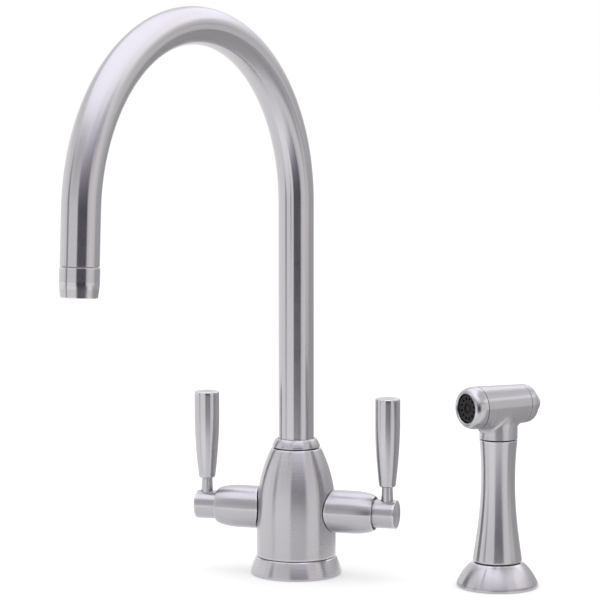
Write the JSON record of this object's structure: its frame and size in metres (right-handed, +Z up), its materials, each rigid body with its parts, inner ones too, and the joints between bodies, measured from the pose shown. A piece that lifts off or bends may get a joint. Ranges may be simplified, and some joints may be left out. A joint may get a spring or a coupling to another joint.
{
  "type": "side spray kitchen faucet",
  "caption": "Deck-mounted kitchen mixer with a bell-shaped body, side arms with quarter-turn levers, a swivelling gooseneck spout and a separate side spray in its own holder.",
  "frame": {"origin": "centre of the base flange's underside, on the deck", "axes": "+Z up along the riser, +X to the user's right along the arms, -Y towards the user"},
  "size_m": [0.254, 0.2798, 0.4496],
  "materials": {
    "satin_steel": "satin brushed",
    "plain_steel": "plain",
    "brass": "machined",
    "rubber": "matte",
    "white_plastic": "moulded",
    "black_plastic": "moulded",
    "ceramic": "lapped"
  },
  "bodies": {
    "faucet_body": {"base_flange": "satin_steel", "deck_gasket": "rubber", "body_shell": "satin_steel", "valve_body": "brass", "threaded_shank": "brass", "clamp_rubber_washer": "rubber", "clamp_steel_washer": "plain_steel", "lock_nut": "brass", "cold_inlet_nipple": "brass", "hot_inlet_nipple": "brass", "spray_outlet_nipple": "brass", "spout_collar": "satin_steel", "spout_bushing": "white_plastic", "diverter_seat": "white_plastic", "hot_arm": "satin_steel", "hot_cartridge": "brass", "hot_fixed_disc": "ceramic", "cold_arm": "satin_steel", "cold_cartridge": "brass", "cold_fixed_disc": "ceramic", "holder_flange": "satin_steel", "holder_bush": "black_plastic", "holder_gasket": "rubber", "holder_shank": "brass", "holder_washer": "rubber", "holder_nut": "brass"},
    "spout": {"spout_tube": "satin_steel", "spout_shank": "brass", "spout_oring_lower": "rubber", "spout_oring_upper": "rubber", "aerator_housing": "satin_steel", "aerator_insert": "white_plastic", "aerator_washer": "rubber"},
    "diverter": {"diverter_spool": "white_plastic", "diverter_spring": "plain_steel"},
    "hot_lever": {"hot_moving_disc": "ceramic", "hot_spindle": "brass", "hot_lever_hub": "satin_steel", "hot_lever_stem": "satin_steel", "hot_lever_grip": "satin_steel", "hot_set_screw": "plain_steel"},
    "cold_lever": {"cold_moving_disc": "ceramic", "cold_spindle": "brass", "cold_lever_hub": "satin_steel", "cold_lever_stem": "satin_steel", "cold_lever_grip": "satin_steel", "cold_set_screw": "plain_steel"},
    "hose_end": {"hose_connector": "brass"},
    "handset": {"grip_nut": "brass", "spray_grip": "satin_steel", "water_tube": "white_plastic", "spray_head": "satin_steel", "spray_valve_housing": "white_plastic", "nozzle_ring": "satin_steel", "nozzle_plate": "black_plastic", "rear_cap": "satin_steel"},
    "button": {"push_button": "satin_steel", "valve_stem": "plain_steel", "valve_spring": "plain_steel"}
  },
  "joints": [
    {"name": "spout_swivel", "type": "hinge", "parent": "faucet_body", "child": "spout", "pos_m": [0, 0, 0], "axis": [0, 0, 1], "continuous": true},
    {"name": "hot_lever_turn", "type": "hinge", "parent": "faucet_body", "child": "hot_lever", "pos_m": [-0.0668, 0, 0.0458], "axis": [1, 0, 0], "range_deg": [0, 90]},
    {"name": "cold_lever_turn", "type": "hinge", "parent": "faucet_body", "child": "cold_lever", "pos_m": [0.0668, 0, 0.0458], "axis": [1, 0, 0], "range_deg": [0, 90]},
    {"name": "diverter_slide", "type": "slide", "parent": "faucet_body", "child": "diverter", "axis": [0, 0, 1], "range_m": [0, 0.002], "stiffness_N_per_m": 100, "springref_m": -0.003, "deforming": ["diverter_spring"]},
    {"name": "spray_lift", "type": "slide", "parent": "faucet_body", "child": "hose_end", "axis": [0, 0, 1], "range_m": [0, 0.2]},
    {"name": "spray_swivel", "type": "hinge", "parent": "hose_end", "child": "handset", "pos_m": [0.1459, 0, 0], "axis": [0, 0, 1], "continuous": true},
    {"name": "button_press", "type": "slide", "parent": "handset", "child": "button", "axis": [-0.6293, -0.7771, 0], "range_m": [0, 0.0025], "stiffness_N_per_m": 1000, "springref_m": -0.003, "deforming": ["valve_spring"]}
  ]
}
